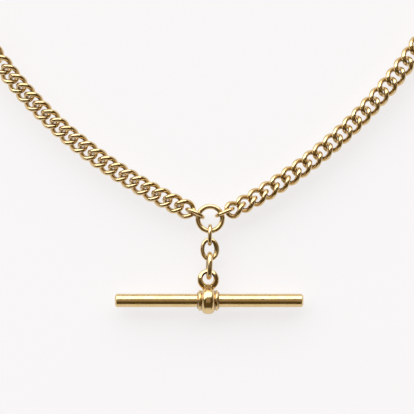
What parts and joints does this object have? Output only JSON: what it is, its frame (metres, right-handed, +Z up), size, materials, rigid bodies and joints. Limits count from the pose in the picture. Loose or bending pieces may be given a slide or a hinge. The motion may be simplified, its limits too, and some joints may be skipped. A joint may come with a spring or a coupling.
{
  "type": "pocket watch chain",
  "caption": "Double pocket watch chain: twisted curb links run from a centre ring to a swivel snap hook at each end, with a short drop and a T-bar with a barrel bead.",
  "frame": {"origin": "under the middle of the whole chain's box, on the surface that it lies on", "axes": "+Z up from that surface; +Y from the T-bar towards the swivel hooks; +X along the T-bar, towards the right arm"},
  "size_m": [0.1424, 0.1788, 0.0056],
  "materials": {
    "link_gold": "polished yellow gold, softly worn",
    "ring_gold": "polished yellow gold, worn thin where the links bear",
    "tbar_gold": "bright polished yellow gold with fine scratches",
    "swivel_gold": "polished yellow gold with fine scratches"
  },
  "bodies": {
    "center_ring": {"center_ring": "ring_gold"},
    "left_connector_link": {"left_connector_link": "link_gold"},
    "left_link_01": {"left_link_01": "link_gold"},
    "left_link_02": {"left_link_02": "link_gold"},
    "left_link_03": {"left_link_03": "link_gold"},
    "left_link_04": {"left_link_04": "link_gold"},
    "left_link_05": {"left_link_05": "link_gold"},
    "left_link_06": {"left_link_06": "link_gold"},
    "left_link_07": {"left_link_07": "link_gold"},
    "left_link_08": {"left_link_08": "link_gold"},
    "left_link_09": {"left_link_09": "link_gold"},
    "left_link_10": {"left_link_10": "link_gold"},
    "left_link_11": {"left_link_11": "link_gold"},
    "left_link_12": {"left_link_12": "link_gold"},
    "left_link_13": {"left_link_13": "link_gold"},
    "left_link_14": {"left_link_14": "link_gold"},
    "left_link_15": {"left_link_15": "link_gold"},
    "left_link_16": {"left_link_16": "link_gold"},
    "left_link_17": {"left_link_17": "link_gold"},
    "left_link_18": {"left_link_18": "link_gold"},
    "left_link_19": {"left_link_19": "link_gold"},
    "left_link_20": {"left_link_20": "link_gold"},
    "left_chain_run_1": {"left_chain_run_1": "link_gold"},
    "left_chain_run_2": {"left_chain_run_2": "link_gold"},
    "left_swivel_eye": {"left_swivel_eye": "swivel_gold"},
    "left_swivel_hook": {"left_swivel_hook": "swivel_gold"},
    "left_swivel_gate": {"left_swivel_gate": "swivel_gold"},
    "right_connector_link": {"right_connector_link": "link_gold"},
    "right_link_01": {"right_link_01": "link_gold"},
    "right_link_02": {"right_link_02": "link_gold"},
    "right_link_03": {"right_link_03": "link_gold"},
    "right_link_04": {"right_link_04": "link_gold"},
    "right_link_05": {"right_link_05": "link_gold"},
    "right_link_06": {"right_link_06": "link_gold"},
    "right_link_07": {"right_link_07": "link_gold"},
    "right_link_08": {"right_link_08": "link_gold"},
    "right_link_09": {"right_link_09": "link_gold"},
    "right_link_10": {"right_link_10": "link_gold"},
    "right_link_11": {"right_link_11": "link_gold"},
    "right_link_12": {"right_link_12": "link_gold"},
    "right_link_13": {"right_link_13": "link_gold"},
    "right_link_14": {"right_link_14": "link_gold"},
    "right_link_15": {"right_link_15": "link_gold"},
    "right_link_16": {"right_link_16": "link_gold"},
    "right_link_17": {"right_link_17": "link_gold"},
    "right_link_18": {"right_link_18": "link_gold"},
    "right_link_19": {"right_link_19": "link_gold"},
    "right_link_20": {"right_link_20": "link_gold"},
    "right_chain_run_1": {"right_chain_run_1": "link_gold"},
    "right_chain_run_2": {"right_chain_run_2": "link_gold"},
    "right_swivel_eye": {"right_swivel_eye": "swivel_gold"},
    "right_swivel_hook": {"right_swivel_hook": "swivel_gold"},
    "right_swivel_gate": {"right_swivel_gate": "swivel_gold"},
    "drop_link_top": {"drop_link_top": "link_gold"},
    "drop_link_middle": {"drop_link_middle": "link_gold"},
    "drop_link_bottom": {"drop_link_bottom": "link_gold"},
    "tbar": {"tbar_bar": "tbar_gold", "tbar_bead": "tbar_gold", "tbar_collar_left": "tbar_gold", "tbar_collar_right": "tbar_gold"}
  },
  "joints": [
    {"name": "left_connector_slide_round", "type": "hinge", "parent": "center_ring", "child": "left_connector_link", "pos_m": [0.00164, -0.07006, 0.0028], "axis": [0, 0, 1], "range_deg": [-15, 28]},
    {"name": "left_link_01_turn", "type": "hinge", "parent": "left_connector_link", "child": "left_link_01", "pos_m": [-0.00299, -0.06818, 0.0028], "axis": [0.0788, 0.1547, 0.9848], "range_deg": [-3, 15]},
    {"name": "left_link_02_fold", "type": "hinge", "parent": "left_link_01", "child": "left_link_02", "pos_m": [-0.0047, -0.06735, 0.0028], "axis": [-0.438, -0.8739, -0.2108], "range_deg": [-15, 15]},
    {"name": "left_link_03_turn", "type": "hinge", "parent": "left_link_02", "child": "left_link_03", "pos_m": [-0.00702, -0.06619, 0.0028], "axis": [0.1053, 0.2005, -0.974], "range_deg": [-15, 15]},
    {"name": "left_link_04_fold", "type": "hinge", "parent": "left_link_03", "child": "left_link_04", "pos_m": [-0.00931, -0.06499, 0.0028], "axis": [0.4691, 0.8498, 0.2403], "range_deg": [-15, 15]},
    {"name": "left_link_05_turn", "type": "hinge", "parent": "left_link_04", "child": "left_link_05", "pos_m": [-0.01157, -0.06374, 0.0028], "axis": [-0.1268, -0.2183, 0.9676], "range_deg": [-15, 15]},
    {"name": "left_link_06_fold", "type": "hinge", "parent": "left_link_05", "child": "left_link_06", "pos_m": [-0.01378, -0.06245, 0.0028], "axis": [-0.5035, -0.8229, -0.2631], "range_deg": [-15, 15]},
    {"name": "left_link_07_turn", "type": "hinge", "parent": "left_link_06", "child": "left_link_07", "pos_m": [-0.01596, -0.06112, 0.0028], "axis": [0.1476, 0.2289, -0.9622], "range_deg": [-15, 15]},
    {"name": "left_link_08_fold", "type": "hinge", "parent": "left_link_07", "child": "left_link_08", "pos_m": [-0.0181, -0.05974, 0.0028], "axis": [0.5398, 0.7938, 0.2802], "range_deg": [-15, 15]},
    {"name": "left_link_09_turn", "type": "hinge", "parent": "left_link_08", "child": "left_link_09", "pos_m": [-0.02019, -0.05832, 0.0028], "axis": [-0.1672, -0.2331, 0.958], "range_deg": [-15, 15]},
    {"name": "left_link_10_fold", "type": "hinge", "parent": "left_link_09", "child": "left_link_10", "pos_m": [-0.02224, -0.05685, 0.0028], "axis": [-0.5773, -0.7624, -0.2924], "range_deg": [-15, 15]},
    {"name": "left_link_11_turn", "type": "hinge", "parent": "left_link_10", "child": "left_link_11", "pos_m": [-0.02424, -0.05533, 0.0028], "axis": [0.1854, 0.2319, -0.9549], "range_deg": [-15, 15]},
    {"name": "left_link_12_fold", "type": "hinge", "parent": "left_link_11", "child": "left_link_12", "pos_m": [-0.02619, -0.05377, 0.0028], "axis": [0.6154, 0.7287, 0.3005], "range_deg": [-15, 15]},
    {"name": "left_link_13_turn", "type": "hinge", "parent": "left_link_12", "child": "left_link_13", "pos_m": [-0.0281, -0.05217, 0.0028], "axis": [-0.202, -0.2263, 0.9529], "range_deg": [-15, 15]},
    {"name": "left_link_14_fold", "type": "hinge", "parent": "left_link_13", "child": "left_link_14", "pos_m": [-0.02994, -0.05052, 0.0028], "axis": [-0.6536, -0.6925, -0.3054], "range_deg": [-15, 15]},
    {"name": "left_link_15_turn", "type": "hinge", "parent": "left_link_14", "child": "left_link_15", "pos_m": [-0.03174, -0.04883, 0.0028], "axis": [0.2169, 0.2172, -0.9517], "range_deg": [-15, 15]},
    {"name": "left_link_16_fold", "type": "hinge", "parent": "left_link_15", "child": "left_link_16", "pos_m": [-0.03347, -0.04709, 0.0028], "axis": [0.6914, 0.6536, 0.308], "range_deg": [-15, 15]},
    {"name": "left_link_17_turn", "type": "hinge", "parent": "left_link_16", "child": "left_link_17", "pos_m": [-0.03515, -0.04531, 0.0028], "axis": [-0.2303, -0.2054, 0.9512], "range_deg": [-15, 15]},
    {"name": "left_link_18_fold", "type": "hinge", "parent": "left_link_17", "child": "left_link_18", "pos_m": [-0.03677, -0.0435, 0.0028], "axis": [-0.7282, -0.6118, -0.3089], "range_deg": [-15, 15]},
    {"name": "left_link_19_turn", "type": "hinge", "parent": "left_link_18", "child": "left_link_19", "pos_m": [-0.03833, -0.04164, 0.0028], "axis": [0.2424, 0.1916, -0.9511], "range_deg": [-15, 15]},
    {"name": "left_link_20_fold", "type": "hinge", "parent": "left_link_19", "child": "left_link_20", "pos_m": [-0.03983, -0.03975, 0.0028], "axis": [0.7635, 0.567, 0.309], "range_deg": [-15, 15]},
    {"name": "left_chain_run_1_turn", "type": "hinge", "parent": "left_link_20", "child": "left_chain_run_1", "pos_m": [-0.04126, -0.03783, 0.0028], "axis": [0, 0, 1], "range_deg": [-15, 15]},
    {"name": "left_chain_run_2_fold", "type": "hinge", "parent": "left_chain_run_1", "child": "left_chain_run_2", "pos_m": [-0.0631, 0.01216, 0.0028], "axis": [-0.9829, -0.184, 0], "range_deg": [-15, 15]},
    {"name": "left_swivel_eye_swing", "type": "hinge", "parent": "left_chain_run_2", "child": "left_swivel_eye", "pos_m": [-0.0675, 0.0669, 0.0028], "axis": [-0.906, 0.0221, -0.4226], "range_deg": [-19, 19]},
    {"name": "left_swivel_spin", "type": "hinge", "parent": "left_swivel_eye", "child": "left_swivel_hook", "pos_m": [-0.06739, 0.07153, 0.0028], "axis": [0.0244, 0.9997, 0], "continuous": true},
    {"name": "left_gate_open", "type": "hinge", "parent": "left_swivel_hook", "child": "left_swivel_gate", "pos_m": [-0.07006, 0.07507, 0.0028], "axis": [0, 0, -1], "range_deg": [0, 35], "stiffness_Nm_per_rad": 0.001, "springref_deg": -17.19},
    {"name": "right_connector_slide_round", "type": "hinge", "parent": "center_ring", "child": "right_connector_link", "pos_m": [0.00164, -0.07006, 0.0028], "axis": [0, 0, -1], "range_deg": [-15, 28]},
    {"name": "right_link_01_turn", "type": "hinge", "parent": "right_connector_link", "child": "right_link_01", "pos_m": [0.00623, -0.06802, 0.0028], "axis": [0, 0, 1], "range_deg": [-15, 15]},
    {"name": "right_link_02_fold", "type": "hinge", "parent": "right_link_01", "child": "right_link_02", "pos_m": [0.0081, -0.06708, 0.0028], "axis": [-0.3656, 0.6892, -0.6255], "range_deg": [-12, 15]},
    {"name": "right_link_03_turn", "type": "hinge", "parent": "right_link_02", "child": "right_link_03", "pos_m": [0.01041, -0.06586, 0.0028], "axis": [0.2704, -0.4743, -0.8378], "range_deg": [-15, 15]},
    {"name": "right_link_04_fold", "type": "hinge", "parent": "right_link_03", "child": "right_link_04", "pos_m": [0.01269, -0.06456, 0.0028], "axis": [0.4594, -0.7532, 0.4708], "range_deg": [-15, 15]},
    {"name": "right_link_05_turn", "type": "hinge", "parent": "right_link_04", "child": "right_link_05", "pos_m": [0.01493, -0.06319, 0.0028], "axis": [-0.2189, 0.3366, 0.9159], "range_deg": [-15, 15]},
    {"name": "right_link_06_fold", "type": "hinge", "parent": "right_link_05", "child": "right_link_06", "pos_m": [0.01712, -0.06177, 0.0028], "axis": [-0.5352, 0.7738, -0.3389], "range_deg": [-15, 15]},
    {"name": "right_link_07_turn", "type": "hinge", "parent": "right_link_06", "child": "right_link_07", "pos_m": [0.01928, -0.06027, 0.0028], "axis": [0.1676, -0.2284, -0.959], "range_deg": [-15, 15]},
    {"name": "right_link_08_fold", "type": "hinge", "parent": "right_link_07", "child": "right_link_08", "pos_m": [0.02139, -0.05872, 0.0028], "axis": [0.5967, -0.7673, 0.2349], "range_deg": [-15, 15]},
    {"name": "right_link_09_turn", "type": "hinge", "parent": "right_link_08", "child": "right_link_09", "pos_m": [0.02346, -0.05712, 0.0028], "axis": [-0.1229, 0.1494, 0.9811], "range_deg": [-15, 15]},
    {"name": "right_link_10_fold", "type": "hinge", "parent": "right_link_09", "child": "right_link_10", "pos_m": [0.02548, -0.05545, 0.0028], "axis": [-0.6479, 0.745, -0.1586], "range_deg": [-15, 15]},
    {"name": "right_link_11_turn", "type": "hinge", "parent": "right_link_10", "child": "right_link_11", "pos_m": [0.02746, -0.05373, 0.0028], "axis": [0.0879, -0.0957, -0.9915], "range_deg": [-15, 15]},
    {"name": "right_link_12_fold", "type": "hinge", "parent": "right_link_11", "child": "right_link_12", "pos_m": [0.02939, -0.05196, 0.0028], "axis": [0.6919, -0.714, 0.1069], "range_deg": [-15, 15]},
    {"name": "right_link_13_turn", "type": "hinge", "parent": "right_link_12", "child": "right_link_13", "pos_m": [0.03127, -0.05014, 0.0028], "axis": [-0.0636, 0.0622, 0.996], "range_deg": [-15, 15]},
    {"name": "right_link_14_fold", "type": "hinge", "parent": "right_link_13", "child": "right_link_14", "pos_m": [0.0331, -0.04826, 0.0028], "axis": [-0.731, 0.6782, -0.0754], "range_deg": [-15, 15]},
    {"name": "right_link_15_turn", "type": "hinge", "parent": "right_link_14", "child": "right_link_15", "pos_m": [0.03488, -0.04634, 0.0028], "axis": [0.0493, -0.0434, -0.9978], "range_deg": [-15, 15]},
    {"name": "right_link_16_fold", "type": "hinge", "parent": "right_link_15", "child": "right_link_16", "pos_m": [0.03661, -0.04438, 0.0028], "axis": [0.7665, -0.6395, 0.0592], "range_deg": [-15, 15]},
    {"name": "right_link_17_turn", "type": "hinge", "parent": "right_link_16", "child": "right_link_17", "pos_m": [0.03829, -0.04236, 0.0028], "axis": [-0.0433, 0.0343, 0.9985], "range_deg": [-15, 15]},
    {"name": "right_link_18_fold", "type": "hinge", "parent": "right_link_17", "child": "right_link_18", "pos_m": [0.03992, -0.04031, 0.0028], "axis": [-0.799, 0.599, -0.0532], "range_deg": [-15, 15]},
    {"name": "right_link_19_turn", "type": "hinge", "parent": "right_link_18", "child": "right_link_19", "pos_m": [0.04149, -0.03821, 0.0028], "axis": [0.0428, -0.0304, -0.9986], "range_deg": [-15, 15]},
    {"name": "right_link_20_fold", "type": "hinge", "parent": "right_link_19", "child": "right_link_20", "pos_m": [0.04301, -0.03608, 0.0028], "axis": [0.8289, -0.557, 0.0523], "range_deg": [-15, 15]},
    {"name": "right_chain_run_1_turn", "type": "hinge", "parent": "right_link_20", "child": "right_chain_run_1", "pos_m": [0.04447, -0.0339, 0.0028], "axis": [0, 0, 1], "range_deg": [-15, 15]},
    {"name": "right_chain_run_2_fold", "type": "hinge", "parent": "right_chain_run_1", "child": "right_chain_run_2", "pos_m": [0.06438, 0.01692, 0.0028], "axis": [-0.988, 0.1547, 0], "range_deg": [-15, 15]},
    {"name": "right_swivel_eye_swing", "type": "hinge", "parent": "right_chain_run_2", "child": "right_swivel_eye", "pos_m": [0.06764, 0.07176, 0.0028], "axis": [0.9057, 0.0332, 0.4226], "range_deg": [-19, 19]},
    {"name": "right_swivel_spin", "type": "hinge", "parent": "right_swivel_eye", "child": "right_swivel_hook", "pos_m": [0.06747, 0.07638, 0.0028], "axis": [-0.0366, 0.9993, 0], "continuous": true},
    {"name": "right_gate_open", "type": "hinge", "parent": "right_swivel_hook", "child": "right_swivel_gate", "pos_m": [0.0701, 0.07995, 0.0028], "axis": [0, 0, 1], "range_deg": [0, 35], "stiffness_Nm_per_rad": 0.001, "springref_deg": -17.19},
    {"name": "drop_link_top_swing", "type": "hinge", "parent": "center_ring", "child": "drop_link_top", "pos_m": [0.00164, -0.07254, 0.0028], "axis": [-1, 0, 0], "range_deg": [-80, 80]},
    {"name": "drop_link_middle_turn", "type": "hinge", "parent": "drop_link_top", "child": "drop_link_middle", "pos_m": [0.00156, -0.07519, 0.0028], "axis": [0, 0, 1], "range_deg": [-30, 30]},
    {"name": "drop_link_bottom_swing", "type": "hinge", "parent": "drop_link_middle", "child": "drop_link_bottom", "pos_m": [0.00154, -0.07824, 0.0028], "axis": [-1, 0, 0], "range_deg": [-80, 80]},
    {"name": "tbar_turn", "type": "hinge", "parent": "drop_link_bottom", "child": "tbar", "pos_m": [0.00136, -0.08191, 0.0028], "axis": [0, 0, -1], "range_deg": [-35, 35]}
  ]
}
